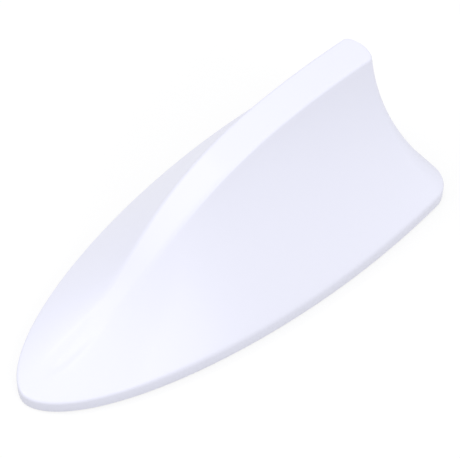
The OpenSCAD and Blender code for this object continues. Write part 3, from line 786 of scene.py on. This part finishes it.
# %% [markdown]
# ## What is soldered on the board
# Each small part is bought in and has its own standard body: a chip with eight bent leads, ceramic
# capacitors and ferrite inductors with tinned ends, and two transistors with three leads each. A lead is a
# strip of sheet folded down to the board, so it is a line of four points, pulled out to its width and given
# a thickness. The second material slot holds the tin.

# %% Helpers for small parts
LEAD_W = 0.4
LEAD_T = 0.15
LEAD_L = 1
LEAD_BENDS = (0.35, 0.55)
LEAD_PITCH = 1.27
STAND_OFF = 0.05
PART_EDGE = 0.08


def new_part(size):
    """A bmesh with one moulded body that stands just above Z = 0, its edges rounded a little."""
    bm = bmesh.new()
    block(bm, (-size[0] / 2, -size[1] / 2, STAND_OFF), (size[0] / 2, size[1] / 2, size[2]))
    soften(bm, PART_EDGE * min(size))
    return bm


def lead(bm, x, face_y, way, body_h):
    """Adds a lead at x that leaves the body's face at face_y and is bent down to the board."""
    knee, heel = [share * LEAD_L for share in LEAD_BENDS]
    bend = [(0, body_h / 2), (knee, body_h / 2), (heel, LEAD_T), (LEAD_L, LEAD_T)]
    verts = [bm.verts.new((x - LEAD_W / 2, way * (face_y + y), z)) for y, z in bend]
    edges = [bm.edges.new(pair) for pair in zip(verts, verts[1:])]
    sheet = bmesh.ops.extrude_edge_only(bm, edges=edges)["geom"]
    bmesh.ops.translate(bm, vec=(LEAD_W, 0, 0), verts=verts_in(sheet))
    strip = [g for g in sheet if isinstance(g, bmesh.types.BMFace)]
    bmesh.ops.recalc_face_normals(bm, faces=strip)
    known = set(bm.faces) - set(strip)
    bmesh.ops.solidify(bm, geom=strip, thickness=LEAD_T)
    for face in bm.faces:
        if face not in known:
            face.material_index = 1


def repeat(bm, places):
    """Copies what a mesh holds to each place and deletes the pattern."""
    pattern = bm.verts[:] + bm.edges[:] + bm.faces[:]
    first = bm.verts[:]
    for place in places:
        copy = bmesh.ops.duplicate(bm, geom=pattern)["geom"]
        bmesh.ops.translate(bm, vec=place, verts=verts_in(copy))
    bmesh.ops.delete(bm, geom=first, context="VERTS")


def ended_part(size, axis, end):
    """A ceramic body with tinned ends of that length along an axis."""
    bm = new_part(size)
    normal = Vector((0, 0, 0))
    normal[axis] = 1
    for way in (-1, 1):
        bmesh.ops.bisect_plane(bm, geom=bm.verts[:] + bm.edges[:] + bm.faces[:],
                               plane_co=way * (size[axis] / 2 - end) * normal, plane_no=normal)
    for face in bm.faces:
        face.material_index = int(abs(face.calc_center_median()[axis]) > size[axis] / 2 - end)
    return bm


# %% Chip, capacitors and inductors
CHIP = (5, 4, 1.5)
CAPACITOR = (1, 2, 0.8)
INDUCTOR = (2.4, 1.8, 1.6)
CHIP_LEADS = (-1.5, -0.5, 0.5, 1.5)
CAPACITOR_END = 0.4
INDUCTOR_END = 0.5
CHIP_SHARE = 0.5
CAPACITOR_SHARES = (0.75, 0.89)
INDUCTOR_SHARE = 0.15
SIDE_ROWS = (-0.31, 0, 0.31)

bm = new_part(CHIP)
for k in CHIP_LEADS:
    for way in (-1, 1):
        lead(bm, k * LEAD_PITCH, CHIP[1] / 2, way, CHIP[2])
repeat(bm, [in_can(CHIP_SHARE, 0)])
stand_in(bm, "chip", "amplifier_chip", "chip_black", epoxy, tin)

bm = ended_part(CAPACITOR, 1, CAPACITOR_END)
repeat(bm, [in_can(u, v) for u in CAPACITOR_SHARES for v in SIDE_ROWS])
stand_in(bm, "capacitors", "chip_capacitors", "capacitor_tan", ceramic, tin)

bm = ended_part(INDUCTOR, 0, INDUCTOR_END)
repeat(bm, [in_can(INDUCTOR_SHARE, v) for v in SIDE_ROWS])
stand_in(bm, "inductors", "chip_inductors", "inductor_grey", ferrite, tin)

# %% Transistors
TRANSISTOR = (2.9, 1.4, 1.1)
bm = new_part(TRANSISTOR)
for x, way in ((-TRANSISTOR[0] / 3, 1), (TRANSISTOR[0] / 3, 1), (0, -1)):
    lead(bm, x, TRANSISTOR[1] / 2, way, TRANSISTOR[2])
bmesh.ops.rotate(bm, cent=(0, 0, 0), matrix=Matrix.Rotation(-pi / 2, 3, "Z"), verts=bm.verts)
low, high = node_box("input_transistors")
middle = (low + high) / 2
across = (high.y - low.y - TRANSISTOR[0]) / 2
repeat(bm, [(middle.x, way * across, low.z) for way in (-1, 1)])
stand_in(bm, "transistors", "input_transistors", "chip_black", epoxy, tin)

# %% Socket's pins
# Square wire pins whose tips are tapered, so that they find their way into the plug.
PIN_W = 0.6
PIN_TAPER = 0.8
PIN_TIP = 0.5
PIN_EDGE = 0.05
low, high = node_box("socket_pins")
bm = bmesh.new()
block(bm, (low.x, -PIN_W / 2, low.z), (high.x, PIN_W / 2, high.z))
bmesh.ops.bisect_plane(bm, geom=bm.verts[:] + bm.edges[:] + bm.faces[:], plane_co=(high.x - PIN_TAPER, 0, 0),
                       plane_no=(1, 0, 0))
tip = [v for v in bm.verts if v.co.x > high.x - SAME_POINT]
about_tip = Matrix.Translation((-high.x, 0, -(low.z + high.z) / 2))
bmesh.ops.scale(bm, vec=(1, PIN_TIP, PIN_TIP), space=about_tip, verts=tip)
soften(bm, PIN_EDGE)
repeat(bm, [(0, way * (high.y - PIN_W / 2), 0) for way in (-1, 1)])
stand_in(bm, "pins", "socket_pins", "contact_gold", gold)

# %% [markdown]
# ## The loading coil
# One enamelled wire comes up through the board, winds eight times round its former and goes on up to the
# top plate. Spinning a small circle round an axis while it climbs gives the turns. Two short spins about a
# level axis bend its ends upright, and an extrusion carries each end to where it is soldered.

# %% The coil's turns
COIL_R = 4
WIRE_R = 0.45
COIL_TURNS = 8
COIL_PITCH = 2.2
COIL_FOOT = 3
BOARD_TOP = 6.8
FOOT_T = 2
FOOT_TOP = BOARD_TOP + FOOT_T
BEND_R = 0.9
WIRE_SIDES = 14
TURN_STEPS = 28

low, high = node_box("loading_coil")
lead_in = atan(BEND_R / COIL_R)
swept = 2 * pi * COIL_TURNS - 2 * lead_in
rise = COIL_PITCH * swept / (2 * pi)
coil_z = FOOT_TOP + COIL_FOOT
bm = bmesh.new()
upright_circle = Matrix.Translation((COIL_R, 0, coil_z)) @ Matrix.Rotation(pi / 2, 4, "X")
start = bmesh.ops.create_circle(bm, segments=WIRE_SIDES, radius=WIRE_R,
                                matrix=Matrix.Rotation(lead_in, 4, "Z") @ upright_circle)["verts"]
start += list({e for v in start for e in v.link_edges})
wire_steps = TURN_STEPS * COIL_TURNS
end = bmesh.ops.spin(bm, geom=start, cent=(0, 0, 0), axis=(0, 0, 1), dvec=(0, 0, rise / wire_steps),
                     angle=swept, steps=wire_steps, use_duplicate=False)["geom_last"]
print("the coil rises", round(rise, 1), "mm")

# %% The wire's ends
BEND_STEPS = 6
UPWARDS = Vector((0, 0, 1))
both_ends = ((start, lead_in, coil_z, -1, low.z), (end, -lead_in, coil_z + rise, 1, high.z))
for ring_geom, angle, z, way, reach in both_ends:
    along = Vector((-sin(angle), cos(angle), 0))
    centre = Vector((COIL_R * cos(angle), COIL_R * sin(angle), z + way * BEND_R))
    bent = bmesh.ops.spin(bm, geom=ring_geom, cent=centre, axis=along.cross(UPWARDS), dvec=(0, 0, 0),
                          angle=pi / 2, steps=BEND_STEPS, use_duplicate=False)["geom_last"]
    bent_edges = [g for g in bent if isinstance(g, bmesh.types.BMEdge)]
    for v in verts_in(bmesh.ops.extrude_edge_only(bm, edges=bent_edges)["geom"]):
        v.co.z = reach
bmesh.ops.holes_fill(bm, edges=[e for e in bm.edges if e.is_boundary], sides=0)
bmesh.ops.translate(bm, vec=(low.x + COIL_R + WIRE_R, 0, 0), verts=bm.verts)
print("wire's ends at", [round(v, 2) for v in (centre + BEND_R * along)[:2]], "from the coil's axis")
stand_in(bm, "coil", "loading_coil", "copper_wire", copper)

# %% [markdown]
# ## The screws
# Eleven screws hold the aerial together, in three lots. Each is turned from a profile, gets a cross recess
# by a boolean, and its thread is a thin wedge that is spun round the shank while it sinks by the pitch. The
# finished screw is then copied to its places. The cover's screws come from below, so theirs is turned over.

# %% One screw
HEAD_FLAT = 0.3
HEAD_SHOULDER = 0.45
HEAD_EDGE = 0.05
TIP_FLAT = 0.15
SCREW_SIDES = 32
RECESS_W = 0.24
RECESS_FLOOR = 0.4
CORE = 0.78
SUNK = 0.9
THREAD_STEPS = 16


def screw(d, length, head_d, head_h, pitch):
    """A pan-head screw with its seat at Z = 0 and its shank pointing down."""
    core = CORE * d / 2
    bm = turned([(0, head_h), (HEAD_FLAT * head_d, head_h), (head_d / 2, HEAD_SHOULDER * head_h),
                 (head_d / 2, 0), (core, 0), (core, d / 2 - length), (TIP_FLAT * d, -length), (0, -length)],
                sides=SCREW_SIDES)
    soften(bm, HEAD_EDGE * head_d)
    blank = to_object(bm, "blank")
    for half_x, half_y in ((HEAD_FLAT * head_d, RECESS_W * d / 2), (RECESS_W * d / 2, HEAD_FLAT * head_d)):
        bm = bmesh.new()
        block(bm, (-half_x, -half_y, RECESS_FLOOR * head_h), (half_x, half_y, head_h + OVERCUT))
        cut(blank, to_object(bm, "recess"))
    bm = from_object(blank)
    bpy.data.objects.remove(blank)
    turns = (length - d / 2) / pitch - 1
    section = ((SUNK * core, -0.2 * pitch), (d / 2, -0.5 * pitch), (SUNK * core, -0.8 * pitch))
    wedge = [bm.verts.new((r, 0, z)) for r, z in section]
    wedge += [bm.edges.new((wedge[i], wedge[(i + 1) % 3])) for i in range(3)]
    count = round(turns * THREAD_STEPS)
    bmesh.ops.spin(bm, geom=wedge, cent=(0, 0, 0), axis=(0, 0, 1), dvec=(0, 0, -pitch / THREAD_STEPS),
                   angle=2 * pi * turns, steps=count, use_duplicate=False)
    bmesh.ops.holes_fill(bm, edges=[e for e in bm.edges if e.is_boundary], sides=0)
    return bm


# %% Three lots of screws
SMALL = {"d": 2, "head_d": 3.8, "head_h": 1.3, "pitch": 0.7}
LARGE = {"d": SCREW_D, "head_d": 4.8, "head_h": 1.5, "pitch": 1}
LARGE_L = 8
BOARD_T = 1.6
BITE = 1.9
low, high = node_box("board_screws")
inset = SMALL["head_d"] / 2
rows = (low.y + inset, high.y - inset)
bm = screw(length=BOARD_T + BITE, **SMALL)
repeat(bm, [(x, y, BOARD_TOP) for x in (low.x + inset, high.x - inset) for y in rows])
stand_in(bm, "screws_board", "board_screws", "screw_steel", zinc)

low, high = node_box("holder_screws")
bm = screw(length=BOARD_T + FOOT_T + BITE, **SMALL)
repeat(bm, [(x, 0, FOOT_TOP) for x in (low.x + inset, high.x - inset)])
stand_in(bm, "screws_holder", "holder_screws", "screw_steel", zinc)

bm = screw(length=LARGE_L, **LARGE)
bmesh.ops.rotate(bm, cent=(0, 0, 0), matrix=Matrix.Rotation(pi, 3, "X"), verts=bm.verts)
repeat(bm, [(x, y, PLATE_FLOOR + LARGE["head_h"]) for x, y in SCREW_AT])
stand_in(bm, "screws_cover", "cover_screws", "screw_steel", zinc)

# %% [markdown]
# ## The camera, the floor and the light
# The camera stands where the photograph's stood: above the nose's left side, about 650 mm away, with a
# long lens. Its direction was found by laying the cover's edges over the photograph's. The ground there is
# pure white, so the floor and the sky look white to the camera and to reflections, and light the aerial
# a little less than that. A soft box brightens the near flank, and a long strip draws the crest.

# %% Camera
AIM = Vector((0, 0, 15)) * MM
AZIMUTH, ELEVATION, ROLL = radians(-43.46), radians(53.63), radians(0.635)
DISTANCE = 650 * MM
PHOTO_W, PHOTO_H = 460, 458
AIM_AT = (212.4, 236.2)
PIXELS_PER_MM = 2.977

back = Vector((sin(AZIMUTH) * cos(ELEVATION), -cos(AZIMUTH) * cos(ELEVATION), sin(ELEVATION)))
level = Vector((cos(AZIMUTH), sin(AZIMUTH), 0))
upright = back.cross(level)
right = cos(ROLL) * level + sin(ROLL) * upright
up = cos(ROLL) * upright - sin(ROLL) * level
camera = bpy.data.objects.new("camera", bpy.data.cameras.new("camera"))
bpy.context.scene.collection.objects.link(camera)
turn = Matrix((right, up, back)).transposed().to_4x4()
camera.matrix_world = Matrix.Translation(AIM + DISTANCE * back) @ turn
camera.data.sensor_width = 36
camera.data.lens = PIXELS_PER_MM / MM * DISTANCE * camera.data.sensor_width / PHOTO_W
camera.data.shift_x = (PHOTO_W / 2 - AIM_AT[0]) / PHOTO_W
camera.data.shift_y = (AIM_AT[1] - PHOTO_H / 2) / PHOTO_W
camera.data.clip_start, camera.data.clip_end = 0.01, 20
bpy.context.scene.camera = camera
print("lens", round(camera.data.lens, 1), "mm")

# %% Floor
FLOOR_HALF = 3
FLOOR_GLOW = 0.75


def seen_rays(tree):
    """Is 1 for rays from the camera and for those that a gloss or a clear body sends on."""
    rays = add(tree, "LightPath")
    seen = add(tree, "Math", {0: rays.outputs["Is Camera Ray"], 1: rays.outputs["Is Glossy Ray"]},
               operation="MAXIMUM")
    seen = add(tree, "Math", {0: seen.outputs[0], 1: rays.outputs["Is Transmission Ray"]},
               operation="MAXIMUM")
    return seen.outputs[0]


bm = bmesh.new()
bmesh.ops.create_grid(bm, x_segments=1, y_segments=1, size=FLOOR_HALF)
floor_mesh = bpy.data.meshes.new("floor")
bm.to_mesh(floor_mesh)
bm.free()
floor = bpy.data.objects.new("floor", floor_mesh)
bpy.context.scene.collection.objects.link(floor)
floor_finish = bpy.data.materials.new("studio_paper")
floor_finish.use_nodes = True
tree = floor_finish.node_tree
tree.nodes.clear()
seen = seen_rays(tree)
lift = add(tree, "Math", {0: seen, 1: FLOOR_GLOW}, operation="MULTIPLY")
tone = add(tree, "Mix", {"Factor": seen, "A": linear("A8A8A8"), "B": linear("FFFFFF")}, data_type="RGBA")
paper = add(tree, "BsdfDiffuse", {"Color": tone.outputs["Result"]})
glow = add(tree, "Emission", {"Color": linear("FFFFFF"), "Strength": 1})
mixed = add(tree, "MixShader", {0: lift.outputs[0], 1: paper.outputs[0], 2: glow.outputs[0]})
add(tree, "OutputMaterial", {"Surface": mixed.outputs[0]})
floor.data.materials.append(floor_finish)
print("floor of", floor_finish.name, 2 * FLOOR_HALF, "m wide")

# %% World and lamps
SKY_LIGHT = 0.9
SKY_SEEN = 1
LAMPS_AIM = Vector((0, 0, 30)) * MM
world = bpy.data.worlds.new("studio")
bpy.context.scene.world = world
world.use_nodes = True
tree = world.node_tree
tree.nodes.clear()
strength = add(tree, "Mix", {"Factor": seen_rays(tree), "A": SKY_LIGHT, "B": SKY_SEEN})
sky = add(tree, "Background", {"Color": linear("FFFFFF"), "Strength": strength.outputs["Result"]})
add(tree, "OutputWorld", {"Surface": sky.outputs[0]})


def lamp(name, place, size, watts, along=(1, 0, 0)):
    """A soft box at a place in metres that faces the aerial, with its first side along a direction."""
    data = bpy.data.lights.new(name, "AREA")
    data.shape, data.energy = "RECTANGLE", watts
    data.size, data.size_y = size
    obj = bpy.data.objects.new(name, data)
    bpy.context.scene.collection.objects.link(obj)
    away = (Vector(place) - LAMPS_AIM).normalized()
    side = (Vector(along) - Vector(along).dot(away) * away).normalized()
    turn = Matrix((side, away.cross(side), away)).transposed().to_4x4()
    obj.matrix_world = Matrix.Translation(place) @ turn


lamp("side_box", place=(-0.2, -1.3, 0.8), size=(0.8, 0.8), watts=5)
lamp("ridge_strip", place=(-0.62, 0.57, 0.85), size=(1, 0.12), watts=2.4, along=(0.85, 0, 0.53))
bpy.context.scene.view_settings.view_transform = "Standard"
print("lamps:", [light.name for light in bpy.data.lights])
